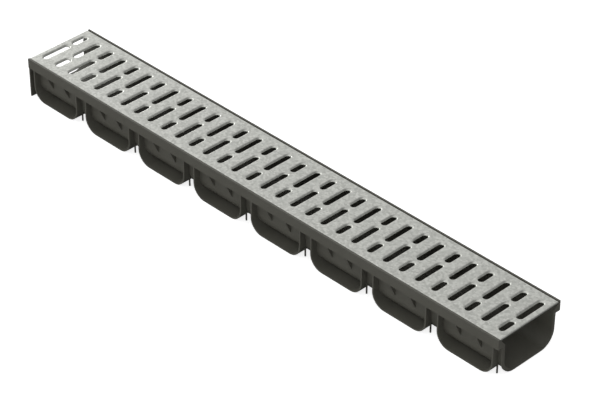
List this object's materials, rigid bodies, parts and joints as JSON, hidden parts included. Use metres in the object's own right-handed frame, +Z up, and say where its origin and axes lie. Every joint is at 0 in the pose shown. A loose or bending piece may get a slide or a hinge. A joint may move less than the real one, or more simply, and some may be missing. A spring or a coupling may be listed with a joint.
{
  "type": "channel drain",
  "caption": "Linear channel drain: moulded plastic trough with stiffening bands under it and a slotted pressed steel grating lying between its rims.",
  "frame": {"origin": "middle of the length and of the width, on the plane that the channel's feet stand on", "axes": "+X along the channel from its plate end to its flanged outlet end, +Y across it, +Z up through the grating"},
  "size_m": [1, 0.128, 0.07],
  "materials": {
    "moulded_plastic": "moulded polypropylene, satin",
    "galvanised_steel": "pressed sheet, zinc coated, dull"
  },
  "bodies": {
    "root": {"channel_body": "moulded_plastic", "grating": "galvanised_steel"}
  },
  "joints": []
}
